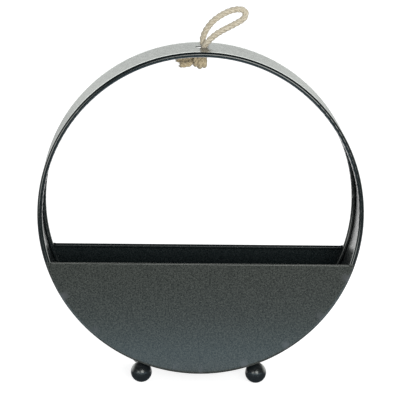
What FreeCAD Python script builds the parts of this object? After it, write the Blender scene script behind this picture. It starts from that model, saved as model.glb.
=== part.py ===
"""Round hoop planter: a rolled sheet-metal hoop, its lower third closed front and back into a trough,
standing on four welded ball feet, with a knotted jute rope loop through its top for hanging.

Millimetres, +Z up, the front faces -Y. The origin is on the floor, under the middle of the hoop.
Sheet edges are finished as on the real thing: the hoop's two edges and the rear panel's top edge are
curled round a wire, the front panel's top edge is folded into a flat hem, and each panel lies flat on the
hoop's curled edge, with its own round edge pressed back over it.
"""

import FreeCAD, Part
import math
import os

Vector = FreeCAD.Vector
ALONG_X = Vector(1, 0, 0)
ALONG_Y = Vector(0, 1, 0)
ALONG_Z = Vector(0, 0, 1)

# Hoop
HOOP_DIAMETER = 305.0  # over the outside of the band
HOOP_DEPTH = 89.0  # from the front panel's flat to the rear panel's flat
SHEET = 0.8  # thickness of the band and of both panels
RIM_WIRE_DIAMETER = 2.9  # the wire inside the hoop's two curled edges
WIRE_CLEARANCE = 0.25  # between a wire and the curl round it
CURL_END_GAP = 0.5  # between the end of a curl and the sheet that it came from
CURL_CORNERS_DEG = [90, 30, -30, -90, -150]  # where the arcs of a curl meet

# Panels
FRONT_EDGE_DROP = 46.0  # top edge of the front panel, below the hoop's centre
REAR_EDGE_DROP = 45.0  # top edge of the rear panel, below the hoop's centre
RIM_WRAP_DEG = 40.0  # how far a panel's round edge is pressed back over the hoop's curled edge
SEAM_CLEARANCE = 0.05  # between a panel and the hoop's curled edge
HEM_DEPTH = 6.0  # length of the front hem's folded-back leg
HEM_GAP = 0.4  # inside the fold of the front hem
EDGE_WIRE_DIAMETER = 2.0  # the wire inside the rear panel's curled top edge
EDGE_CLEARANCE = 0.5  # between the end of a finished top edge and the hoop's curled edge

# Tack welds between each panel and the hoop, inside the trough
TACK_RADIUS = 2.0
TACK_COUNT = 9
TACK_EDGE_DROP = 12.0  # the outermost ones, below the front panel's top edge
WELD_CLEARANCE = 0.02  # between a weld and the metal that it joins

# Ball feet
FOOT_DIAMETER = 20.0
FOOT_SPREAD_DEG = 19.5  # to each side of straight down, round the hoop
FOOT_SETBACK = 11.0  # from a panel's flat to the middle of the ball
FOOT_SEAT = 0.4  # how deep the band sits in a saddle in the ball
FOOT_FLAT = 0.3  # depth of the flat that the ball stands on
FOOT_WELD_RADIUS = 4.6  # of the weld collar round the saddle

# Rope hanger
ROPE_DIAMETER = 5.4
ROPE_HOLE_DIAMETER = 13.2
STRAND_GAP = 0.2  # between the two strands in the hole
STRAND_SHIFT = 2.2  # of the strands in the hole, along X: the rope lies against the hole's right side
PIVOT_HEIGHT = 3.0  # above the band, where the loop bends over
PIVOT_CLEARANCE = 0.3  # between the strands in the hole and the loop
KNOT_CLEARANCE = 0.3  # between the knot and the band above it
KNOT_CORE_RADIUS = 6.0
KNOT_TURN_RADIUS = 6.4  # of the middle of the turn of rope that lies round the knot
KNOT_TURN_DEG = 35.0  # that turn's axis, from X towards Y
KNOT_DROP = 10.6  # from the band's outside to the middle of the knot
KNOT_SHIFT = -2.3  # of the middle of the knot, along X

# The loop's route, chosen by eye, from the top of the hole: up the rear strand, round the fold at the
# far end, and back down to the front strand.
LOOP_ROUTE = [
    (1.0, 2.7, 8.0),
    (3.0, 2.2, 15.6),
    (8.6, 1.4, 24.4),
    (17.2, 0.7, 31.4),
    (27.0, 0.2, 36.0),
    (36.2, 0.0, 36.9),
    (40.3, -0.2, 34.0),
    (39.9, -0.3, 29.6),
    (34.0, -0.7, 26.6),
    (25.0, -1.3, 21.4),
    (15.6, -2.0, 15.6),
    (8.0, -2.6, 9.4),
]
# X and Z of each strand below the loop, from inside the knot up to the hole.
STRAND_ROUTE = [(-1.0, -7.6), (2.2, -2.4)]
# The two rope ends, from inside the knot to their cut tips, from the top of the hole.
TAIL_ROUTES = [
    [(-5.0, 1.6, -9.6), (-13.0, 2.6, -11.9), (-22.6, 2.0, -12.2)],
    [(-5.0, -2.0, -14.6), (-12.0, -2.6, -16.8), (-19.8, -3.0, -16.4)],
]
BEND_SHARE = 0.45  # of the shorter run that a bend of the rope takes up

# Worked out from the sizes above
HOOP_RADIUS = HOOP_DIAMETER / 2
BEAD_RADIUS = RIM_WIRE_DIAMETER / 2 + WIRE_CLEARANCE + SHEET
BEAD_CIRCLE = HOOP_RADIUS - BEAD_RADIUS
RIM_RADIUS = BEAD_RADIUS + SEAM_CLEARANCE + SHEET
BEAD_OUT = HOOP_DEPTH / 2 - RIM_RADIUS
FLAT_OUT = HOOP_DEPTH / 2
EDGE_BEAD_RADIUS = EDGE_WIRE_DIAMETER / 2 + WIRE_CLEARANCE + SHEET
HEM_RADIUS = SHEET + HEM_GAP / 2
INNER_CIRCLE = BEAD_CIRCLE - BEAD_RADIUS
TOP_EDGE_LIMIT = INNER_CIRCLE - EDGE_CLEARANCE
TACK_SPREAD_DEG = math.degrees(math.acos((FRONT_EDGE_DROP + TACK_EDGE_DROP) / INNER_CIRCLE))
FOOT_RADIUS = FOOT_DIAMETER / 2
FOOT_CIRCLE = HOOP_RADIUS + FOOT_RADIUS - FOOT_SEAT
FOOT_OUT = HOOP_DEPTH / 2 - FOOT_SETBACK
FOOT_HEIGHT = FOOT_RADIUS - FOOT_FLAT
HOOP_HEIGHT = FOOT_HEIGHT + FOOT_CIRCLE * math.cos(math.radians(FOOT_SPREAD_DEG))
HOOP_CENTRE = Vector(0, 0, HOOP_HEIGHT)
FRONT_EDGE = HOOP_HEIGHT - FRONT_EDGE_DROP
REAR_EDGE = HOOP_HEIGHT - REAR_EDGE_DROP
HOLE_TOP = HOOP_HEIGHT + HOOP_RADIUS
ROPE_RADIUS = ROPE_DIAMETER / 2
STRAND_OUT = ROPE_RADIUS + STRAND_GAP / 2
KNOT_TOP = HOLE_TOP - SHEET - KNOT_CLEARANCE
FRONT = -1
REAR = 1


def section_point(out, radius, side):
    """A point of the hoop's section: out from the mid-plane towards one side, and from the hoop's axis."""
    return Vector(0, side * out, HOOP_HEIGHT + radius)


def section_arc(out, circle, radius, start, end, side):
    """An arc of the hoop's section. 0 degrees points out from the mid-plane, 90 away from the axis."""

    def point(degrees):
        turn = math.radians(degrees)
        return section_point(out + radius * math.cos(turn), circle + radius * math.sin(turn), side)

    return Part.Arc(point(start), point((start + end) / 2), point(end)).toShape()


def bead_arcs(radius, corners, side):
    """Arcs about the middle of a curled edge, from corner to corner."""
    return [section_arc(BEAD_OUT, BEAD_CIRCLE, radius, *pair, side) for pair in zip(corners, corners[1:])]


def line(start, end):
    return Part.LineSegment(start, end).toShape()


def face_of(edges):
    return Part.Face(Part.Wire(Part.__sortEdges__(edges)))


def revolved(edges):
    """The solid that a closed section makes in a full turn about the hoop's axis."""
    return face_of(edges).revolve(HOOP_CENTRE, ALONG_Y, 360)


def largest(shape):
    """The largest piece that a cut leaves."""
    return max(shape.Solids, key=lambda solid: solid.Volume)


def curl_end(bead_radius):
    """Degrees past straight inward at which a curl stops short of the sheet that it came from."""
    return math.degrees(math.asin((bead_radius - SHEET - CURL_END_GAP) / bead_radius))


def hoop_cylinder(radius):
    """A cylinder about the hoop's axis, longer than the hoop is deep."""
    length = 2 * HOOP_DEPTH
    return Part.makeCylinder(radius, length, HOOP_CENTRE - ALONG_Y * (length / 2), ALONG_Y)


def band_curl(side):
    """The edges of one curled edge of the band: out over the wire, in, and back towards the band."""
    end = -180 - curl_end(BEAD_RADIUS)
    inner = BEAD_RADIUS - SHEET
    turn = math.radians(end)

    def tip(radius):
        return section_point(BEAD_OUT + radius * math.cos(turn), BEAD_CIRCLE + radius * math.sin(turn), side)

    corners = CURL_CORNERS_DEG + [end]
    edges = bead_arcs(BEAD_RADIUS, corners, side) + bead_arcs(inner, corners, side)
    return edges + [line(tip(BEAD_RADIUS), tip(inner))]


def hoop_band():
    """The rolled strip, both edges curled inward round a wire, with the rope's hole through its top."""
    edges = band_curl(FRONT) + band_curl(REAR)
    for radius in (HOOP_RADIUS, HOOP_RADIUS - SHEET):
        edges.append(line(section_point(BEAD_OUT, radius, FRONT), section_point(BEAD_OUT, radius, REAR)))
    drill_length = 4 * BEAD_RADIUS
    drill_base = Vector(0, 0, HOLE_TOP - drill_length / 2)
    drill = Part.makeCylinder(ROPE_HOLE_DIAMETER / 2, drill_length, drill_base, ALONG_Z)
    return revolved(edges).cut(drill)


def rim_wire(side):
    middle = HOOP_CENTRE + ALONG_Y * (side * BEAD_OUT)
    return Part.makeTorus(BEAD_CIRCLE, RIM_WIRE_DIAMETER / 2, middle, ALONG_Y)


def panel_disc(side):
    """A whole pressed disc: a flat that lies on the hoop's curled edge, and a rim pressed back over it."""
    inner = RIM_RADIUS - SHEET
    turn = math.radians(RIM_WRAP_DEG)

    def rim_edge(radius):
        return section_point(BEAD_OUT + radius * math.cos(turn), BEAD_CIRCLE + radius * math.sin(turn), side)

    edges = [
        line(section_point(FLAT_OUT, 0, side), section_point(FLAT_OUT, BEAD_CIRCLE, side)),
        section_arc(BEAD_OUT, BEAD_CIRCLE, RIM_RADIUS, 0, RIM_WRAP_DEG, side),
        line(rim_edge(RIM_RADIUS), rim_edge(inner)),
        section_arc(BEAD_OUT, BEAD_CIRCLE, inner, 0, RIM_WRAP_DEG, side),
        line(section_point(FLAT_OUT - SHEET, BEAD_CIRCLE, side), section_point(FLAT_OUT - SHEET, 0, side)),
        line(section_point(FLAT_OUT - SHEET, 0, side), section_point(FLAT_OUT, 0, side)),
    ]
    return revolved(edges)


def space_above(height):
    """Everything above a height, wider than the hoop."""
    size = 2 * HOOP_DIAMETER
    return Part.makeBox(size, size, size, Vector(-size / 2, -size / 2, height))


def along_x(edges, half_length):
    """A section drawn in the plane X = 0, drawn out to the same length both ways."""
    face = face_of(edges)
    face.translate(ALONG_X * -half_length)
    return face.extrude(ALONG_X * (2 * half_length))


def front_hem():
    """The front panel's top edge, folded back on itself and trimmed clear of the hoop's curled edge."""
    fold = Vector(0, -FLAT_OUT + HEM_RADIUS, FRONT_EDGE - HEM_RADIUS)

    def at(y, z):
        return fold + Vector(0, y, z)

    def half_circle(radius):
        return Part.Arc(at(-radius, 0), at(0, radius), at(radius, 0)).toShape()

    inner = HEM_GAP / 2
    edges = [
        half_circle(HEM_RADIUS),
        line(at(HEM_RADIUS, 0), at(HEM_RADIUS, -HEM_DEPTH)),
        line(at(HEM_RADIUS, -HEM_DEPTH), at(inner, -HEM_DEPTH)),
        line(at(inner, -HEM_DEPTH), at(inner, 0)),
        half_circle(inner),
        line(at(-inner, 0), at(-HEM_RADIUS, 0)),
    ]
    return along_x(edges, HOOP_RADIUS).common(hoop_cylinder(TOP_EDGE_LIMIT))


def front_panel():
    trimmed = panel_disc(FRONT).cut(space_above(FRONT_EDGE))
    room = space_above(FRONT_EDGE - HEM_RADIUS).common(hoop_cylinder(TOP_EDGE_LIMIT))
    return trimmed.cut(room).fuse(front_hem()).removeSplitter()


def rear_edge_half_length():
    lowest = REAR_EDGE_DROP + 2 * EDGE_BEAD_RADIUS
    return math.sqrt(TOP_EDGE_LIMIT**2 - lowest**2)


def rear_edge_centre():
    return Vector(0, FLAT_OUT - EDGE_BEAD_RADIUS, REAR_EDGE - EDGE_BEAD_RADIUS)


def rear_curl():
    """The rear panel's top edge, curled inward round a wire."""
    centre = rear_edge_centre()
    inner = EDGE_BEAD_RADIUS - SHEET
    end = 270 + curl_end(EDGE_BEAD_RADIUS)

    def at(radius, degrees):
        turn = math.radians(degrees)
        return centre + Vector(0, radius * math.cos(turn), radius * math.sin(turn))

    def arc(radius, start, stop):
        return Part.Arc(at(radius, start), at(radius, (start + stop) / 2), at(radius, stop)).toShape()

    edges = [
        arc(EDGE_BEAD_RADIUS, 0, 150),
        arc(EDGE_BEAD_RADIUS, 150, end),
        line(at(EDGE_BEAD_RADIUS, end), at(inner, end)),
        arc(inner, 150, end),
        arc(inner, 0, 150),
        line(at(inner, 0), at(EDGE_BEAD_RADIUS, 0)),
    ]
    return along_x(edges, rear_edge_half_length())


def rear_panel():
    trimmed = panel_disc(REAR).cut(space_above(REAR_EDGE))
    half = rear_edge_half_length()
    room = Part.makeBox(2 * half, HOOP_DEPTH, HOOP_DIAMETER, Vector(-half, 0, REAR_EDGE - EDGE_BEAD_RADIUS))
    return trimmed.cut(room).fuse(rear_curl()).removeSplitter()


def rear_edge_wire():
    half = rear_edge_half_length()
    return Part.makeCylinder(EDGE_WIRE_DIAMETER / 2, 2 * half, rear_edge_centre() - ALONG_X * half, ALONG_X)


def panel_tacks(side):
    """Beads of weld in the corner between a panel and the hoop's curled edge, spaced round the trough."""
    length = 4 * TACK_RADIUS
    middle = HOOP_CENTRE - ALONG_Z * INNER_CIRCLE + ALONG_Y * (side * (FLAT_OUT - SHEET - WELD_CLEARANCE))
    room = Part.makeCylinder(2 * TACK_RADIUS, length, middle, ALONG_Y * -side)
    bead_place = HOOP_CENTRE - ALONG_Z * BEAD_CIRCLE + ALONG_Y * (side * BEAD_OUT) - ALONG_X * (length / 2)
    bead = Part.makeCylinder(BEAD_RADIUS + WELD_CLEARANCE, length, bead_place, ALONG_X)
    blob = largest(Part.makeSphere(TACK_RADIUS, middle, ALONG_X).common(room).cut(bead))
    tacks = []
    for number in range(TACK_COUNT):
        tack = blob.copy()
        share = 2 * number / (TACK_COUNT - 1) - 1
        tack.rotate(HOOP_CENTRE, ALONG_Y, share * TACK_SPREAD_DEG)
        tacks.append(tack)
    return Part.makeCompound(tacks)


def foot_place(side, hand):
    """The middle of a ball foot and the direction from it straight in to the hoop's axis."""
    turn = math.radians(FOOT_SPREAD_DEG)
    inward = Vector(-hand * math.sin(turn), 0, math.cos(turn))
    return HOOP_CENTRE + ALONG_Y * (side * FOOT_OUT) - inward * FOOT_CIRCLE, inward


def ball_foot(side, hand):
    """A ball with a saddle for the band and a small flat to stand on."""
    centre, _ = foot_place(side, hand)
    below = Part.makeBox(FOOT_DIAMETER, FOOT_DIAMETER, FOOT_DIAMETER)
    below.translate(Vector(centre.x - FOOT_RADIUS, centre.y - FOOT_RADIUS, -FOOT_DIAMETER))
    return Part.makeSphere(FOOT_RADIUS, centre).cut(hoop_cylinder(HOOP_RADIUS)).cut(below)


def foot_weld(side, hand):
    """The collar of weld in the corner between a ball and the band."""
    centre, inward = foot_place(side, hand)
    collar = Part.makeCylinder(FOOT_WELD_RADIUS, FOOT_DIAMETER, centre, inward)
    ball = Part.makeSphere(FOOT_RADIUS + WELD_CLEARANCE, centre)
    return collar.cut(ball).cut(hoop_cylinder(HOOP_RADIUS + WELD_CLEARANCE))


def from_hole(point):
    """A point given from the top of the rope's hole, in the part's own frame."""
    return Vector(*point) + ALONG_Z * HOLE_TOP


def rope_path(points):
    """Straight runs joined by the largest tangent arcs that they leave room for, and those arcs' radii."""
    edges, radii = [], []
    start = points[0]
    for before, corner, after in zip(points, points[1:], points[2:]):
        back, ahead = before - corner, after - corner
        cut = BEND_SHARE * min(back.Length, ahead.Length)
        half_turn = (math.pi - back.getAngle(ahead)) / 2
        radius = cut / math.tan(half_turn)
        back.normalize()
        ahead.normalize()
        inward = (back + ahead).normalize()
        first, last = corner + back * cut, corner + ahead * cut
        middle = corner + inward * (radius / math.cos(half_turn) - radius)
        edges.append(line(start, first))
        edges.append(Part.Arc(first, middle, last).toShape())
        radii.append(radius)
        start = last
    edges.append(line(start, points[-1]))
    return Part.Wire(edges), radii


def rope_tube(points, name):
    """A round rope along a route, with its bend radii, length and volume printed."""
    path, radii = rope_path(points)
    direction = (points[1] - points[0]).normalize()
    ring = Part.Wire(Part.Circle(points[0], direction, ROPE_RADIUS).toShape())
    tube = path.makePipeShell([ring], True, False)
    expected = math.pi * ROPE_RADIUS**2 * path.Length
    print(name, "bend radii", [round(radius, 1) for radius in radii], "length", round(path.Length, 1))
    print(name, "volume", round(tube.Volume, 1), "section times length", round(expected, 1))
    return tube


def loop_pivot(side):
    """Where one strand leaves the hole and the loop bends over."""
    return Vector(STRAND_SHIFT, side * STRAND_OUT, HOLE_TOP + PIVOT_HEIGHT)


def hanger_loop():
    """The free loop above the band, its two ends hollowed to turn about the ends of the strands."""
    points = [loop_pivot(REAR)] + [from_hole(point) for point in LOOP_ROUTE] + [loop_pivot(FRONT)]
    tube = rope_tube(points, "hanger_loop")
    length = 4 * ROPE_DIAMETER
    base = Vector(STRAND_SHIFT, -length / 2, HOLE_TOP + PIVOT_HEIGHT)
    return tube.cut(Part.makeCylinder(ROPE_RADIUS + PIVOT_CLEARANCE, length, base, ALONG_Y))


def hanger_strand(side):
    """One strand from the knot up through the hole, round-ended where the loop turns on it."""
    top = loop_pivot(side)
    points = [from_hole((x, side * STRAND_OUT, z)) for x, z in STRAND_ROUTE] + [top]
    strand = rope_tube(points, "hanger_strand").fuse(Part.makeSphere(ROPE_RADIUS, top))
    return largest(strand.cut(hanger_knot()).removeSplitter())


def hanger_knot():
    """The stopper knot under the band: a round core with one turn of rope lying round it."""
    middle = Vector(KNOT_SHIFT, 0, HOLE_TOP - KNOT_DROP)
    turn = math.radians(KNOT_TURN_DEG)
    axis = Vector(math.cos(turn), math.sin(turn), 0)
    core = Part.makeSphere(KNOT_CORE_RADIUS, middle)
    outer_turn = Part.makeTorus(KNOT_TURN_RADIUS, ROPE_RADIUS, middle, axis)
    return core.fuse(outer_turn).cut(space_above(KNOT_TOP)).removeSplitter()


def hanger_tail(number):
    """One cut rope end, from the knot's surface to its tip."""
    points = [from_hole(point) for point in TAIL_ROUTES[number]]
    return largest(rope_tube(points, "hanger_tail").cut(hanger_knot()))


def build():
    nodes = {
        "hoop_band": hoop_band(),
        "front_rim_wire": rim_wire(FRONT),
        "rear_rim_wire": rim_wire(REAR),
        "front_panel": front_panel(),
        "rear_panel": rear_panel(),
        "rear_edge_wire": rear_edge_wire(),
        "front_panel_tacks": panel_tacks(FRONT),
        "rear_panel_tacks": panel_tacks(REAR),
        "hanger_loop": hanger_loop(),
        "hanger_strands": Part.makeCompound([hanger_strand(REAR), hanger_strand(FRONT)]),
        "hanger_knot": hanger_knot(),
        "hanger_tails": Part.makeCompound([hanger_tail(number) for number in range(len(TAIL_ROUTES))]),
    }
    for side, side_name in ((FRONT, "front"), (REAR, "rear")):
        for hand, hand_name in ((-1, "left"), (1, "right")):
            nodes[f"foot_{side_name}_{hand_name}"] = ball_foot(side, hand)
            nodes[f"foot_weld_{side_name}_{hand_name}"] = foot_weld(side, hand)
    return nodes


def main():
    os.makedirs("parts", exist_ok=True)
    for name, shape in build().items():
        solids = shape.Solids
        valid = all(solid.isValid() and solid.Volume > 0 for solid in solids)
        print(name, "solids", len(solids), "valid", valid, "volume", round(shape.Volume, 1))
        shape.exportStep(f"parts/{name}.step")


main()
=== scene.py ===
"""Looks of the round hoop planter: satin black paint, twisted jute rope, a pale floor and the photo's view.

Metres, in the part's own frame: +Z up, and the front faces -Y. The origin is on the floor, under the
middle of the hoop.
"""

import math

import bpy
import numpy as np
from mathutils import Matrix, Vector


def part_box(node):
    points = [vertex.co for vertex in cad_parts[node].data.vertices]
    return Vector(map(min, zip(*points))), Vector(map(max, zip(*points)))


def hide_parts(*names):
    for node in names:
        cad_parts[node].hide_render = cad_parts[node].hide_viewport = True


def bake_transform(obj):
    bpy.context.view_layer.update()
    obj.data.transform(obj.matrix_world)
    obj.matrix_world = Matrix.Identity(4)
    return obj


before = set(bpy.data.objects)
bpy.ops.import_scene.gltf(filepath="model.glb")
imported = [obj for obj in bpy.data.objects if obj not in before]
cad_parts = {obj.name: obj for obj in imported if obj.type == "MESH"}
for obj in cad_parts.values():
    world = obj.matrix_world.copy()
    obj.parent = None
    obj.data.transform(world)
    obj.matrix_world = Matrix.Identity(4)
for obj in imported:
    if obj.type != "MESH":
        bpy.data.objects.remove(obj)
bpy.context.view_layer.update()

# Places read from the solids
BAND_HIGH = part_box("hoop_band")[1]
HOLE_TOP = BAND_HIGH.z

# The hoop and its rolled edges
HOOP_RADIUS = 0.1525
HOOP_CENTRE = Vector((0, 0, BAND_HIGH.z - HOOP_RADIUS))
BEAD_RADIUS = 0.0025
BEAD_CIRCLE = HOOP_RADIUS - BEAD_RADIUS  # radius of the ring that a bead's middle follows
BEAD_OUT = BAND_HIGH.y - BEAD_RADIUS  # of a bead's middle, from the hoop's mid-plane
BEAD_START = BEAD_OUT - BEAD_RADIUS  # of a bead's inner side, from the hoop's mid-plane
BEAD_BLEND = 0.0015  # over which the band's paint turns into the bead's
BEAD_SKIN = 0.0003  # how far from its true radius a point still counts as on a bead

# Camera
CAMERA_DISTANCE = 2.205  # from the hoop's centre
CAMERA_TURN, CAMERA_RISE = -1.34, 10.53  # degrees to the right of the front, and up
CAMERA_ROLL = 0.78  # degrees
CAMERA_LENS, CAMERA_SENSOR = 209.0, 36  # mm
AIM_RISE = 0.00647  # of the point that it looks at, above the hoop's centre

# The soft light in front
WINDOW_TURN, WINDOW_RISE = 11, 8.5  # degrees to the right of the front, and up
WINDOW_DISTANCE = 2.0
WINDOW_SIZE = (1.0, 0.9)
WINDOW_POWER = 29.0

# The room: soft light from all round, and what reflections show of it
WHITE = (1, 1, 1, 1)
ROOM_LIGHT, ROOM_TINT = 0.5, (0.97, 0.985, 1.0, 1)
WALL_TINT = (0.965, 1.0, 0.96, 1)
WALL_DIM, WALL_BRIGHT = 0.03, 1.32  # in front of the object, and behind it
WALL_START, WALL_FULL = -0.1, 0.6  # how far back a direction points where the wall starts, and is full
CEILING_SHARE = 0.06  # of the wall's light, that the ceiling has
CEILING_START, CEILING_FULL = 0.36, 0.62  # how far up one points where the ceiling starts, and is full
# Windows: degrees to the right of the front and up, and how bright
GLINTS = [(11, 9.5, 2.3), (-30, 0, 1.5)]
GLINT_EDGE, GLINT_CORE = 19, 12  # degrees from a window's middle to its soft edge, and to where it's full

# The white paper that the object stands on
FLOOR_LOW, FLOOR_HIGH = (-0.7, -1.0), (0.7, 4.0)  # its corners
FLOOR_SHADE = (0.8, 0.8, 0.8, 1)
FLOOR_LIFT = 0.8  # added to its own shade for the camera, so that it shows as white
# The paper as reflections show it, by the share of the way from far before the object to just behind it
# These shades are painted light and shade: a painted pool of light before the object and painted shadow just
# before and under it
MIRROR_NEAR, MIRROR_FAR = -0.65, 0.1
MIRROR_SHADES = [
    (0.0, (0.014, 0.022, 0.022)),
    (0.4, (0.10, 0.15, 0.175)),
    (0.72, (0.265, 0.40, 0.485)),
    (0.82, (0.31, 0.43, 0.51)),
    (0.87, (0.06, 0.075, 0.085)),
    (0.93, (0.05, 0.06, 0.07)),
    (1.0, (1.0, 1.0, 1.0)),
]
# Painted light and shade too: the paper glows brighter behind the object, and painted shade darkens and
# greys it to each side
BEHIND_FAR, BEHIND_GLOW = 0.4, 1.5  # from here on behind the object it is this bright
SIDE_NEAR, SIDE_FAR = 0.19, 0.32  # between these distances to each side it turns darker and greyer
SIDE_TINT, SIDE_SHADE = 0.2, 0.35  # shares of its tint and of its brightness that are left there

# Paints. Shades are the darkest and the lightest of the grain, shine is the IOR of the body, and gloss is
# the weight, the roughness and the IOR of the clear coat.
HOOP_SHADES = [(0.005, 0.008, 0.009), (0.012, 0.017, 0.018)]
FOOT_SHADES = [(0.005, 0.007, 0.008), (0.010, 0.013, 0.014)]
PANEL_SHADES = [(0.019, 0.021, 0.019), (0.068, 0.074, 0.066)]
HOOP_PAINT = dict(shades=HOOP_SHADES, roughness=0.28, shine=1.5, gloss=(0.3, 0.14, 1.5), grain=0.1)
BAND_PAINT = dict(shades=HOOP_SHADES, roughness=0.28, shine=2.0, gloss=(1.0, 0.12, 1.6), grain=0.1)
FOOT_PAINT = dict(shades=FOOT_SHADES, roughness=0.4, shine=1.8, gloss=(1.0, 0.17, 1.9), grain=0.06)
PANEL_PAINT = dict(shades=PANEL_SHADES, roughness=0.15, shine=2.0, gloss=(0.35, 0.08, 1.5), grain=0.12)
BEAD_ROUGHNESS = 0.5  # of the rolled edges, as a share of the band's
GRAIN_SCALE, GRAIN_DETAIL = 700, 3.0  # of the noise that the shades follow
SHADE_ENDS = (0.32, 0.68)  # values of a noise that have the darkest and the lightest shade
PATCH_SCALE, PATCH_ENDS = 320, (0.3, 0.7)  # of the noise that the roughness follows
PATCH_SWING = 0.15  # how far the roughness goes up and down, as a share
PEEL_SCALE, PEEL_DEPTH = 420, 0.0001  # of the larger bumps
FINE_SCALE, FINE_DEPTH = 1500, 0.00004  # of the smaller ones

# Marks of the tack welds behind the front panel's rim
TACK_PITCH = math.radians(16.75)  # between neighbours, round the hoop
MARK_SHADE = (0.075, 0.078, 0.08, 1)
MARK_START, MARK_FULL = 0.1415, 0.1485  # distances from the hoop's axis
MARK_EDGE = 0.80  # the wave that is 1 at each tack is at this value where a mark ends
MARK_PATCHES, MARK_PATCH_ENDS = 35, (0.35, 0.6)  # of the noise that breaks the marks up

# Bare wire
WIRE_SHADES = [(0.28, 0.28, 0.29), (0.42, 0.42, 0.43)]
WIRE_SCALE, WIRE_DETAIL = 500, 3.0
WIRE_ROUGHNESS = (0.3, 0.5)

# Jute, paler on the loop than in the knot: the knot's shades are partly browner jute and partly painted
# shade where the band hangs over it
LOOP_SHADES = [(0.42, 0.355, 0.24), (0.74, 0.69, 0.565)]
KNOT_SHADES = [(0.35, 0.265, 0.145), (0.59, 0.505, 0.33)]
KNOT_START = 0.004  # where the knot's shades start, under the hole's top
KNOT_DEPTH = 0.004  # from there to where they are at their most
KNOT_SHARE = 0.9  # of the knot's shades, at their most
JUTE_ROUGHNESS, JUTE_SHEEN = 0.85, 0.25
STREAK_SCALE, STREAK_DETAIL = 1.0, 4.0
STREAK_DEPTH, STREAK_RELIEF = 0.0002, 0.6
STREAK_ALONG, STREAK_ROUND, STREAK_SHIFT = 400, 3, 50  # per metre, round a strand, and between strands

# Rope
ROPE_DIAMETER = 0.0054
ROPE_STEP = 0.0003  # between the rings of a strand
SPLINE_ORDER, SPLINE_STEPS = 3, 24
STRAND_COUNT = 3
STRAND_RADIUS = 0.00150
STRAND_OFFSET = 0.00128
STRAND_LAY = 0.0135  # length of one full turn of a strand round the rope
STRAND_SIDES = 18
YARN_COUNT = 6
YARN_LAY = -0.0095
YARN_DEPTH = 0.06
LOOP_FULLNESS = 1.08  # of the free loop, against the tight knot
FRAY_LENGTH = 0.006  # of the loosened strands at each cut end
FRAY_SPREAD = 0.6

# Loose fibres: fuzz along the rope and tips at each cut end. Pairs are the limits of what chance sets.
FIBRE_SEED = 5
FIBRE_RINGS, FIBRE_SIDES = 5, 3
FIBRE_TAPER = 0.7
FIBRE_SHIFT = 7.3  # in the streaks, from one fibre to the next
FUZZ_COUNT, FUZZ_RADIUS, FUZZ_LENGTHS = 500, 0.00006, (0.0012, 0.0030)
FUZZ_MARGIN = 10  # rings at each end of the rope that have no fuzz
FUZZ_ROOT = 0.44  # of the rope's diameter, from its middle
FUZZ_LIFT, FUZZ_CURLS = 0.15, (0.1, 0.6)
TIP_COUNT, TIP_RADIUS, TIP_LENGTHS = 70, 0.00013, (0.0015, 0.0036)
TIP_ROOTS = (0.1, 0.5)  # of the rope's diameter, from its middle
TIP_DEPTH, TIP_CURLS = 0.0010, (0.0, 0.5)

# The rope's route from one cut end to the other, from the top of the hole: the rear end through the knot,
# its turn round the knot, up the rear strand, round the loop, and the same way back for the front end
REAR_END = [
    (-0.0232, 0.0022, -0.0120),
    (-0.0172, 0.0026, -0.0124),
    (-0.0115, 0.0022, -0.0114),
    (-0.0060, 0.0008, -0.0096),
    (-0.0016, 0.0004, -0.0090),
]
REAR_TURN = [
    (0.0016, 0.0028, -0.0080),
    (0.0022, 0.0060, -0.0096),
    (0.0022, 0.0054, -0.0148),
    (0.0021, 0.0000, -0.0178),
    (0.0021, -0.0056, -0.0156),
    (0.0021, -0.0064, -0.0096),
    (0.0022, -0.0034, -0.0056),
    (0.0024, 0.0018, -0.0042),
]
LOOP = [
    (0.0008, 0.0030, 0.0030),
    (0.0004, 0.0028, 0.0080),
    (0.0032, 0.0022, 0.0154),
    (0.0092, 0.0014, 0.0238),
    (0.0180, 0.0007, 0.0305),
    (0.0276, 0.0002, 0.0350),
    (0.0368, 0.0000, 0.0359),
    (0.0408, -0.0002, 0.0330),
    (0.0396, -0.0003, 0.0274),
    (0.0334, -0.0007, 0.0234),
    (0.0250, -0.0013, 0.0190),
    (0.0156, -0.0020, 0.0142),
    (0.0082, -0.0026, 0.0084),
    (0.0028, -0.0026, 0.0024),
]
FRONT_TURN = [
    (0.0022, -0.0029, -0.0009),
    (-0.0002, -0.0054, -0.0036),
    (-0.0016, -0.0072, -0.0090),
    (-0.0019, -0.0062, -0.0164),
    (-0.0019, 0.0002, -0.0188),
    (-0.0022, 0.0058, -0.0164),
    (-0.0030, 0.0070, -0.0080),
    (-0.0044, 0.0040, -0.0042),
    (-0.0054, -0.0026, -0.0054),
    (-0.0057, -0.0062, -0.0096),
    (-0.0057, -0.0054, -0.0146),
    (-0.0056, 0.0000, -0.0168),
    (-0.0056, 0.0046, -0.0152),
    (-0.0064, 0.0050, -0.0124),
]
FRONT_END = [
    (-0.0086, 0.0020, -0.0134),
    (-0.0106, -0.0020, -0.0154),
    (-0.0144, -0.0030, -0.0167),
    (-0.0200, -0.0030, -0.0165),
]
ROPE_ROUTE = REAR_END + REAR_TURN + LOOP + FRONT_TURN + FRONT_END


def towards(turn, rise):
    """The direction that is so many degrees to the right of the front, and up."""
    turn, rise = math.radians(turn), math.radians(rise)
    return Vector((math.sin(turn) * math.cos(rise), -math.cos(turn) * math.cos(rise), math.sin(rise)))


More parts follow.
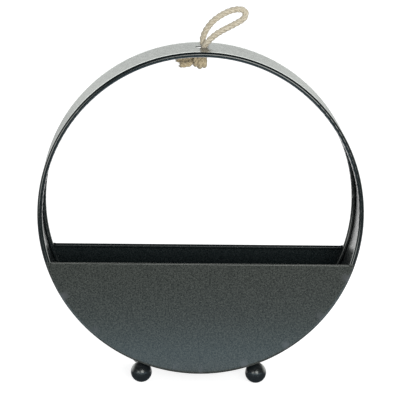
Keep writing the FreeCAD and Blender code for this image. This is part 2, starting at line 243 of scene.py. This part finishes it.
def add_camera():
    place = HOOP_CENTRE + towards(CAMERA_TURN, CAMERA_RISE) * CAMERA_DISTANCE
    aim = HOOP_CENTRE + Vector((0, 0, AIM_RISE))
    outward = (place - aim).normalized()
    level = Vector((0, 0, 1)).cross(outward).normalized()
    roll = math.radians(CAMERA_ROLL)
    right = level * math.cos(roll) + outward.cross(level) * math.sin(roll)
    turn = Matrix((right, outward.cross(right), outward)).transposed().to_4x4()
    data = bpy.data.cameras.new("camera")
    data.lens = CAMERA_LENS
    data.sensor_width = CAMERA_SENSOR
    camera = bpy.data.objects.new("camera", data)
    camera.matrix_world = Matrix.Translation(place) @ turn
    bpy.context.scene.collection.objects.link(camera)
    bpy.context.scene.camera = camera


def add_window():
    """The soft light in front. Reflections don't show it: the room has windows of its own for them."""
    direction = towards(WINDOW_TURN, WINDOW_RISE)
    data = bpy.data.lights.new("window", "AREA")
    data.shape = "ELLIPSE"
    data.size, data.size_y = WINDOW_SIZE
    data.energy = WINDOW_POWER
    lamp = bpy.data.objects.new("window", data)
    lamp.location = HOOP_CENTRE + direction * WINDOW_DISTANCE
    lamp.rotation_euler = direction.to_track_quat("Z", "Y").to_euler()
    lamp.visible_glossy = False
    bpy.context.scene.collection.objects.link(lamp)


def empty_tree(owner):
    """The node tree of a new material or world, with nothing in it."""
    owner.use_nodes = True
    owner.node_tree.nodes.clear()
    return owner.node_tree


def feed(tree, value, socket):
    """Give a socket another node's output, or a constant."""
    if isinstance(value, bpy.types.NodeSocket):
        tree.links.new(value, socket)
    else:
        socket.default_value = value


def calculate(tree, kind, operation, values):
    """The outputs of a new node that does one sum."""
    node = tree.nodes.new(kind)
    node.operation = operation
    for value, socket in zip(values, node.inputs):
        feed(tree, value, socket)
    return node.outputs


def maths(tree, operation, *values):
    """The result of one sum on numbers."""
    return calculate(tree, "ShaderNodeMath", operation, values)["Value"]


def vectors(tree, operation, *values):
    """The result of one sum on vectors."""
    result = "Value" if operation in ("LENGTH", "DOT_PRODUCT") else "Vector"
    return calculate(tree, "ShaderNodeVectorMath", operation, values)[result]


def separate(tree, vector):
    """A vector's X, Y and Z."""
    node = tree.nodes.new("ShaderNodeSeparateXYZ")
    tree.links.new(vector, node.inputs["Vector"])
    return node.outputs


def spread(tree, value, from_low, from_high, low, high):
    """A value between two limits, spread smoothly from low to high."""
    node = tree.nodes.new("ShaderNodeMapRange")
    node.interpolation_type = "SMOOTHSTEP"
    limits = {"From Min": from_low, "From Max": from_high, "To Min": low, "To Max": high}
    for name, limit in limits.items():
        node.inputs[name].default_value = limit
    tree.links.new(value, node.inputs["Value"])
    return node.outputs["Result"]


def mixed(tree, kind, factor, first, second):
    """A colour or vector that turns from the first into the second as a factor goes from 0 to 1."""
    node = tree.nodes.new("ShaderNodeMix")
    node.data_type = kind
    for name, value in (("Factor", factor), ("A", first), ("B", second)):
        feed(tree, value, node.inputs[name])
    return node.outputs["Result"]


def noise(tree, place, scale, detail=2.0):
    """A noise texture's value at each place."""
    texture = tree.nodes.new("ShaderNodeTexNoise")
    texture.inputs["Scale"].default_value = scale
    texture.inputs["Detail"].default_value = detail
    tree.links.new(place, texture.inputs["Vector"])
    return texture.outputs["Fac"]


def ramp(tree, value, shades):
    """Colours from the first shade to the second over a noise."""
    node = tree.nodes.new("ShaderNodeValToRGB")
    for stop, position, shade in zip(node.color_ramp.elements, SHADE_ENDS, shades):
        stop.position = position
        stop.color = (*shade, 1)
    tree.links.new(value, node.inputs["Fac"])
    return node.outputs["Color"]


def bump(tree, height, distance, strength, under=None):
    """The normal of a surface with a relief on it, over another normal where one is given."""
    relief = tree.nodes.new("ShaderNodeBump")
    relief.inputs["Strength"].default_value = strength
    relief.inputs["Distance"].default_value = distance
    tree.links.new(height, relief.inputs["Height"])
    if under is not None:
        tree.links.new(under, relief.inputs["Normal"])
    return relief.outputs["Normal"]


def by_ray(tree, ray, shader, for_ray):
    """A shader, with another one in its place for one kind of ray."""
    mix = tree.nodes.new("ShaderNodeMixShader")
    tree.links.new(tree.nodes.new("ShaderNodeLightPath").outputs[ray], mix.inputs["Fac"])
    tree.links.new(shader, mix.inputs[1])
    tree.links.new(for_ray, mix.inputs[2])
    return mix.outputs["Shader"]


def light(tree, kind, colour, strength):
    """The output of a new shader that gives light: the world's background, or emission from a surface."""
    shader = tree.nodes.new(kind)
    feed(tree, colour, shader.inputs["Color"])
    feed(tree, strength, shader.inputs["Strength"])
    return shader.outputs[0]


def glint(tree, direction, turn, rise, strength):
    """A round soft-edged window in the world: how bright it is in each direction."""
    nearness = vectors(tree, "DOT_PRODUCT", direction, towards(turn, rise))
    edge, core = math.cos(math.radians(GLINT_EDGE)), math.cos(math.radians(GLINT_CORE))
    return spread(tree, nearness, edge, core, 0.0, strength)


def add_room():
    """The world: white to the camera; in reflections a white wall behind and two windows in a dim room."""
    world = bpy.data.worlds.new("room")
    tree = empty_tree(world)
    direction = tree.nodes.new("ShaderNodeTexCoord").outputs["Generated"]
    parts = separate(tree, direction)
    wall = spread(tree, parts["Y"], WALL_START, WALL_FULL, WALL_DIM, WALL_BRIGHT)
    ceiling = spread(tree, parts["Z"], CEILING_START, CEILING_FULL, 1.0, CEILING_SHARE)
    brightness = maths(tree, "MULTIPLY", wall, ceiling)
    for turn, rise, strength in GLINTS:
        brightness = maths(tree, "MAXIMUM", brightness, glint(tree, direction, turn, rise, strength))
    soft = light(tree, "ShaderNodeBackground", ROOM_TINT, ROOM_LIGHT)
    reflected = light(tree, "ShaderNodeBackground", WALL_TINT, brightness)
    seen = light(tree, "ShaderNodeBackground", WHITE, 1.0)
    room = by_ray(tree, "Is Glossy Ray", soft, reflected)
    room = by_ray(tree, "Is Camera Ray", room, seen)
    output = tree.nodes.new("ShaderNodeOutputWorld")
    tree.links.new(room, output.inputs["Surface"])
    bpy.context.scene.world = world


def finished(material, surface):
    """The material, with a shader as its surface."""
    tree = material.node_tree
    output = tree.nodes.new("ShaderNodeOutputMaterial")
    tree.links.new(surface, output.inputs["Surface"])
    return material


def principled(material, settings):
    """The material, with a surface that has these settings."""
    tree = material.node_tree
    shader = tree.nodes.new("ShaderNodeBsdfPrincipled")
    for name, value in settings.items():
        feed(tree, value, shader.inputs[name])
    return finished(material, shader.outputs["BSDF"])


def mirrored_paper_painted_light(tree):
    """The paper as reflections show it, its light and shade painted on: bluish before the object with a
    painted pool of light and painted shadow near it, white and brighter behind it, and painted shade darker
    to the sides.
    """
    place = separate(tree, tree.nodes.new("ShaderNodeTexCoord").outputs["Object"])
    shades = tree.nodes.new("ShaderNodeValToRGB")
    stops = shades.color_ramp.elements
    for position, shade in MIRROR_SHADES[1:-1]:
        stops.new(position).color = (*shade, 1)
    stops[0].color = (*MIRROR_SHADES[0][1], 1)
    stops[-1].color = (*MIRROR_SHADES[-1][1], 1)
    tree.links.new(spread(tree, place["Y"], MIRROR_NEAR, MIRROR_FAR, 0.0, 1.0), shades.inputs["Fac"])
    tint = tree.nodes.new("ShaderNodeHueSaturation")
    aside = maths(tree, "ABSOLUTE", place["X"])
    tree.links.new(spread(tree, aside, SIDE_NEAR, SIDE_FAR, 1.0, SIDE_TINT), tint.inputs["Saturation"])
    tree.links.new(spread(tree, aside, SIDE_NEAR, SIDE_FAR, 1.0, SIDE_SHADE), tint.inputs["Value"])
    tree.links.new(shades.outputs["Color"], tint.inputs["Color"])
    behind = spread(tree, place["Y"], MIRROR_FAR, BEHIND_FAR, 1.0, BEHIND_GLOW)
    return light(tree, "ShaderNodeEmission", tint.outputs["Color"], behind)


def floor_material():
    """Matt white paper, lifted for the camera so that only the shadow shows."""
    material = bpy.data.materials.new("floor")
    tree = empty_tree(material)
    matt = tree.nodes.new("ShaderNodeBsdfDiffuse")
    matt.inputs["Color"].default_value = FLOOR_SHADE
    seen = tree.nodes.new("ShaderNodeAddShader")
    tree.links.new(matt.outputs["BSDF"], seen.inputs[0])
    tree.links.new(light(tree, "ShaderNodeEmission", WHITE, FLOOR_LIFT), seen.inputs[1])
    surface = by_ray(tree, "Is Glossy Ray", matt.outputs["BSDF"], mirrored_paper_painted_light(tree))
    surface = by_ray(tree, "Is Camera Ray", surface, seen.outputs["Shader"])
    return finished(material, surface)


def add_floor():
    left, near = FLOOR_LOW
    right, far = FLOOR_HIGH
    corners = [(left, near, 0), (right, near, 0), (right, far, 0), (left, far, 0)]
    mesh = bpy.data.meshes.new("floor")
    mesh.from_pydata(corners, [], [(0, 1, 2, 3)])
    mesh.materials.append(floor_material())
    floor = bpy.data.objects.new("floor", mesh)
    bpy.context.scene.collection.objects.link(floor)


def tack_marks(tree, place):
    """How much lighter the paint is over the tack welds behind a panel's rim, from 0 to 1. One weld is at
    the bottom.
    """
    offset = vectors(tree, "SUBTRACT", place, HOOP_CENTRE)
    from_axis = vectors(tree, "LENGTH", vectors(tree, "MULTIPLY", offset, (1, 0, 1)))
    across = separate(tree, offset)
    angle = maths(tree, "ARCTAN2", across["X"], across["Z"])
    wave = maths(tree, "MULTIPLY", angle, 2 * math.pi / TACK_PITCH)
    phase = maths(tree, "ADD", wave, -2 * math.pi * math.pi / TACK_PITCH)
    around = spread(tree, maths(tree, "COSINE", phase), MARK_EDGE, 1.0, 0.0, 1.0)
    near_rim = spread(tree, from_axis, MARK_START, MARK_FULL, 0.0, 1.0)
    patchy = spread(tree, noise(tree, place, MARK_PATCHES), *MARK_PATCH_ENDS, 0.0, 1.0)
    return maths(tree, "MULTIPLY", maths(tree, "MULTIPLY", around, near_rim), patchy)


def on_bead(tree, place, band, bead):
    """A value that is one number on the hoop's band and another on its rolled edges."""
    depth = maths(tree, "ABSOLUTE", separate(tree, place)["Y"])
    return spread(tree, depth, BEAD_START - BEAD_BLEND, BEAD_START, band, bead)


def bead_normal(tree, place):
    """The surface's normal, and on the hoop's rolled edges a true ring's, smoother than their facets."""
    offset = vectors(tree, "SUBTRACT", place, HOOP_CENTRE)
    outward = vectors(tree, "NORMALIZE", vectors(tree, "MULTIPLY", offset, (1, 0, 1)))
    ring = vectors(tree, "MULTIPLY", outward, (BEAD_CIRCLE, BEAD_CIRCLE, BEAD_CIRCLE))
    side = vectors(tree, "MULTIPLY", vectors(tree, "SIGN", offset), (0, BEAD_OUT, 0))
    from_middle = vectors(tree, "SUBTRACT", offset, vectors(tree, "ADD", ring, side))
    is_bead = maths(tree, "COMPARE", vectors(tree, "LENGTH", from_middle), BEAD_RADIUS, BEAD_SKIN)
    turned = tree.nodes.new("ShaderNodeVectorTransform")
    turned.vector_type = "NORMAL"
    turned.convert_from = "OBJECT"
    turned.convert_to = "WORLD"
    tree.links.new(vectors(tree, "NORMALIZE", from_middle), turned.inputs["Vector"])
    faceted = tree.nodes.new("ShaderNodeNewGeometry").outputs["Normal"]
    return mixed(tree, "VECTOR", is_bead, faceted, turned.outputs["Vector"])


def paint(name, shades, roughness, shine, gloss, grain, marked=False, beaded=False):
    """Sprayed black paint: a clear gloss over a satin body with a fine grain.

    A marked paint has weld marks. A beaded one has its gloss on the hoop's rolled edges alone.
    """
    material = bpy.data.materials.new(name)
    tree = empty_tree(material)
    place = tree.nodes.new("ShaderNodeTexCoord").outputs["Object"]
    colour = ramp(tree, noise(tree, place, GRAIN_SCALE, GRAIN_DETAIL), shades)
    if marked:
        colour = mixed(tree, "RGBA", tack_marks(tree, place), colour, MARK_SHADE)
    low, high = (1 - PATCH_SWING) * roughness, (1 + PATCH_SWING) * roughness
    rough = spread(tree, noise(tree, place, PATCH_SCALE, GRAIN_DETAIL), *PATCH_ENDS, low, high)
    weight, coat_roughness, coat_shine = gloss
    smooth = None
    if beaded:
        rough = maths(tree, "MULTIPLY", rough, on_bead(tree, place, 1.0, BEAD_ROUGHNESS))
        weight = on_bead(tree, place, 0.0, weight)
        smooth = bead_normal(tree, place)
    peel = bump(tree, noise(tree, place, PEEL_SCALE), PEEL_DEPTH, grain, smooth)
    fine = bump(tree, noise(tree, place, FINE_SCALE), FINE_DEPTH, grain, peel)
    settings = {
        "Base Color": colour,
        "Roughness": rough,
        "IOR": shine,
        "Normal": fine,
        "Coat Weight": weight,
        "Coat Roughness": coat_roughness,
        "Coat IOR": coat_shine,
        "Coat Normal": fine,
    }
    return principled(material, settings)


def wire_steel():
    """Bare wire under the curls: grey steel, a little uneven."""
    material = bpy.data.materials.new("wire_steel")
    tree = empty_tree(material)
    place = tree.nodes.new("ShaderNodeTexCoord").outputs["Object"]
    tone = noise(tree, place, WIRE_SCALE, WIRE_DETAIL)
    settings = {
        "Base Color": ramp(tree, tone, WIRE_SHADES),
        "Roughness": spread(tree, tone, 0, 1, *WIRE_ROUGHNESS),
        "Metallic": 1.0,
    }
    return principled(material, settings)


def attribute(tree, name):
    """The outputs of a new node that reads one of a mesh's attributes."""
    node = tree.nodes.new("ShaderNodeAttribute")
    node.attribute_name = name
    return node.outputs


def jute():
    """Twisted jute: streaks of fibre along each yarn, pale on the loop, and from the knot on browner and
    darker with painted shade under the band.
    """
    material = bpy.data.materials.new("jute")
    tree = empty_tree(material)
    streaks = noise(tree, attribute(tree, "yarn_place")["Vector"], STREAK_SCALE, STREAK_DETAIL)
    pale = ramp(tree, streaks, LOOP_SHADES)
    brown = ramp(tree, streaks, KNOT_SHADES)
    settings = {
        "Base Color": mixed(tree, "RGBA", attribute(tree, "knot_tone_and_shade")["Fac"], pale, brown),
        "Normal": bump(tree, streaks, STREAK_DEPTH, STREAK_RELIEF),
        "Roughness": JUTE_ROUGHNESS,
        "Sheen Weight": JUTE_SHEEN,
    }
    return principled(material, settings)


def read_spline(points):
    """Points along one smooth spline that has the given control points."""
    data = bpy.data.curves.new("route", "CURVE")
    data.dimensions = "3D"
    data.resolution_u = SPLINE_STEPS
    spline = data.splines.new("NURBS")
    spline.points.add(len(points) - 1)
    for control, point in zip(spline.points, points):
        control.co = (*point, 1)
    spline.order_u = SPLINE_ORDER
    spline.use_endpoint_u = True
    carrier = bpy.data.objects.new("route", data)
    mesh = bpy.data.meshes.new_from_object(carrier)
    line = np.array([vertex.co for vertex in mesh.vertices], float)
    bpy.data.meshes.remove(mesh)
    bpy.data.curves.remove(data)
    return line


def even_steps(line, step):
    """The same line with points a step apart, and how far along it each one is."""
    along = np.concatenate([[0], np.cumsum(np.linalg.norm(np.diff(line, axis=0), axis=1))])
    places = np.linspace(0, along[-1], round(along[-1] / step) + 1)
    return np.stack([np.interp(places, along, line[:, axis]) for axis in range(3)], axis=1), places


def unit(directions):
    return directions / np.linalg.norm(directions, axis=-1, keepdims=True)


def carried_sides(line):
    """Two directions square to a line at each of its points, carried along it without twist."""
    tangents = unit(np.gradient(line, axis=0))
    side = np.cross(tangents[0], (0.0, 1.0, 0.0))
    sides = []
    for tangent in tangents:
        side = unit(side - tangent * np.dot(side, tangent))
        sides.append(side)
    sides = np.array(sides)
    return sides, np.cross(tangents, sides)


def fullness(line):
    """How full the strands are along the rope: 1 in the knot, and more where the loop is free."""
    free = np.clip((line[:, 2] - HOLE_TOP) / (2 * ROPE_DIAMETER), 0, 1)
    return 1 + (LOOP_FULLNESS - 1) * free


def strand(line, along, number):
    """The middle line of one strand of the rope, and the direction from the rope's middle to it."""
    sides, others = carried_sides(line)
    turn = 2 * math.pi * (along / STRAND_LAY + number / STRAND_COUNT)
    outward = np.cos(turn)[:, None] * sides + np.sin(turn)[:, None] * others
    from_end = np.minimum(along, along[-1] - along)
    loose = np.clip(1 - from_end / FRAY_LENGTH, 0, 1) ** 2
    offset = STRAND_OFFSET * fullness(line) * (1 + FRAY_SPREAD * loose)
    return line + outward * offset[:, None], outward


def ringed_tube(middle, outward, radii):
    """Ring points of a tube about a line. radii has one row for each ring, and a column for each side."""
    tangents = unit(np.gradient(middle, axis=0))
    first = unit(outward - tangents * np.sum(outward * tangents, axis=1, keepdims=True))
    second = np.cross(tangents, first)
    angles = np.linspace(0, 2 * math.pi, radii.shape[1], endpoint=False)
    cosines, sines = np.cos(angles)[None, :, None], np.sin(angles)[None, :, None]
    around = cosines * first[:, None] + sines * second[:, None]
    return middle[:, None] + around * radii[:, :, None]


def ring_faces(rings, sides, start):
    """Faces between neighbouring rings of a tube, and a cap at each end."""
    faces = []
    for ring in range(rings - 1):
        low = start + ring * sides
        for side in range(sides):
            ahead = (side + 1) % sides
            faces.append((low + side, low + ahead, low + sides + ahead, low + sides + side))
    faces.append(tuple(start + side for side in reversed(range(sides))))
    faces.append(tuple(start + (rings - 1) * sides + side for side in range(sides)))
    return faces


def add_mesh(name, points, faces, material):
    mesh = bpy.data.meshes.new(name)
    mesh.from_pydata(points.tolist(), [], faces)
    mesh.polygons.foreach_set("use_smooth", np.ones(len(mesh.polygons), bool))
    mesh.materials.append(material)
    piece = bpy.data.objects.new(name, mesh)
    bpy.context.scene.collection.objects.link(piece)
    return piece


def rope_strands(line, along):
    """Rings of the three strands, each with its yarns, and each point's place in the streaks of fibre."""
    angles = np.linspace(0, 2 * math.pi, STRAND_SIDES, endpoint=False)
    yarn_turn = angles[None, :] - (2 * math.pi * along / YARN_LAY)[:, None]
    radii = STRAND_RADIUS * fullness(line)[:, None] * (1 + YARN_DEPTH * np.cos(YARN_COUNT * yarn_turn))
    around = [STREAK_ROUND * np.cos(yarn_turn), STREAK_ROUND * np.sin(yarn_turn)]
    tubes = []
    for number in range(STRAND_COUNT):
        middle, outward = strand(line, along, number)
        lengthwise = along * STREAK_ALONG + STREAK_SHIFT * number
        places = np.stack([np.repeat(lengthwise[:, None], STRAND_SIDES, axis=1), *around], axis=2)
        tubes.append((ringed_tube(middle, outward, radii), places))
    return tubes


def fibre(root, ahead, aside, length, radius, number):
    """One loose fibre that starts ahead and curves aside: rings of a thin tube, and their places."""
    share = np.linspace(0, 1, FIBRE_RINGS)[:, None]
    middle = root + length * (ahead * share + aside * share**2)
    radii = np.repeat(radius * (1 - FIBRE_TAPER * share), FIBRE_SIDES, axis=1)
    outward = np.repeat(unit(np.cross(ahead, aside))[None], FIBRE_RINGS, axis=0)
    places = np.full((FIBRE_RINGS, FIBRE_SIDES, 3), FIBRE_SHIFT * number)
    return ringed_tube(middle, outward, radii), places


def loose_fibres(line):
    """Fuzz along the rope and tufts at its two cut ends."""
    chance = np.random.default_rng(FIBRE_SEED)
    tangents = unit(np.gradient(line, axis=0))
    tubes = []
    for number in range(FUZZ_COUNT):
        at = chance.integers(FUZZ_MARGIN, len(line) - FUZZ_MARGIN)
        outward = unit(np.cross(tangents[at], chance.normal(size=3)))
        root = line[at] + outward * ROPE_DIAMETER * FUZZ_ROOT
        ahead = tangents[at] * chance.choice((-1, 1)) + FUZZ_LIFT * outward
        length = chance.uniform(*FUZZ_LENGTHS)
        aside = outward * chance.uniform(*FUZZ_CURLS)
        tubes.append(fibre(root, ahead, aside, length, FUZZ_RADIUS, number))
    for end, ahead in ((0, -tangents[0]), (-1, tangents[-1])):
        for number in range(TIP_COUNT):
            outward = unit(np.cross(ahead, chance.normal(size=3)))
            root = line[end] + outward * ROPE_DIAMETER * chance.uniform(*TIP_ROOTS) - ahead * TIP_DEPTH
            aside = outward * chance.uniform(*TIP_CURLS)
            length = chance.uniform(*TIP_LENGTHS)
            tubes.append(fibre(root, ahead, aside, length, TIP_RADIUS, number))
    return tubes


def add_rope(material):
    """The whole rope, as three strands twisted together, with its loose fibres."""
    route = [Vector(point) + Vector((0, 0, HOLE_TOP)) for point in ROPE_ROUTE]
    line, along = even_steps(read_spline(route), ROPE_STEP)
    points, faces, places = [], [], []
    for rings, ring_places in rope_strands(line, along) + loose_fibres(line):
        faces += ring_faces(rings.shape[0], rings.shape[1], sum(len(block) for block in points))
        points.append(rings.reshape(-1, 3))
        places.append(ring_places.reshape(-1, 3))
    points, places = np.concatenate(points), np.concatenate(places)
    rope = add_mesh("rope", points, faces, material)
    yarn_place = rope.data.attributes.new("yarn_place", "FLOAT_VECTOR", "POINT")
    yarn_place.data.foreach_set("vector", places.astype(np.float32).ravel())
    # The knot's shades, partly browner jute and partly painted shade, grow below the hole, under the band
    below = np.clip((HOLE_TOP - KNOT_START - points[:, 2]) / KNOT_DEPTH, 0, 1)
    knot_tone_and_shade = rope.data.attributes.new("knot_tone_and_shade", "FLOAT", "POINT")
    knot_tone_and_shade.data.foreach_set("value", (KNOT_SHARE * below).astype(np.float32))
    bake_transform(rope)
    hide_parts("hanger_loop", "hanger_strands", "hanger_knot", "hanger_tails")


def finish_metal():
    """Paint on the sheet metal and the feet, and bare wire under the curls."""
    finishes = {
        "hoop_paint": paint("hoop_paint", **HOOP_PAINT),
        "foot_paint": paint("foot_paint", **FOOT_PAINT),
        "wire_steel": wire_steel(),
    }
    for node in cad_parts.values():
        for place in node.material_slots:
            if place.material.name in finishes:
                place.material = finishes[place.material.name]
    own = {
        "hoop_band": paint("band_paint", **BAND_PAINT, beaded=True),
        "front_panel": paint("panel_paint", **PANEL_PAINT, marked=True),
    }
    for name, material in own.items():
        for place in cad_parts[name].material_slots:
            place.material = material


bpy.context.scene.view_settings.view_transform = "Standard"
add_camera()
add_rope(jute())
finish_metal()
add_floor()
add_room()
add_window()
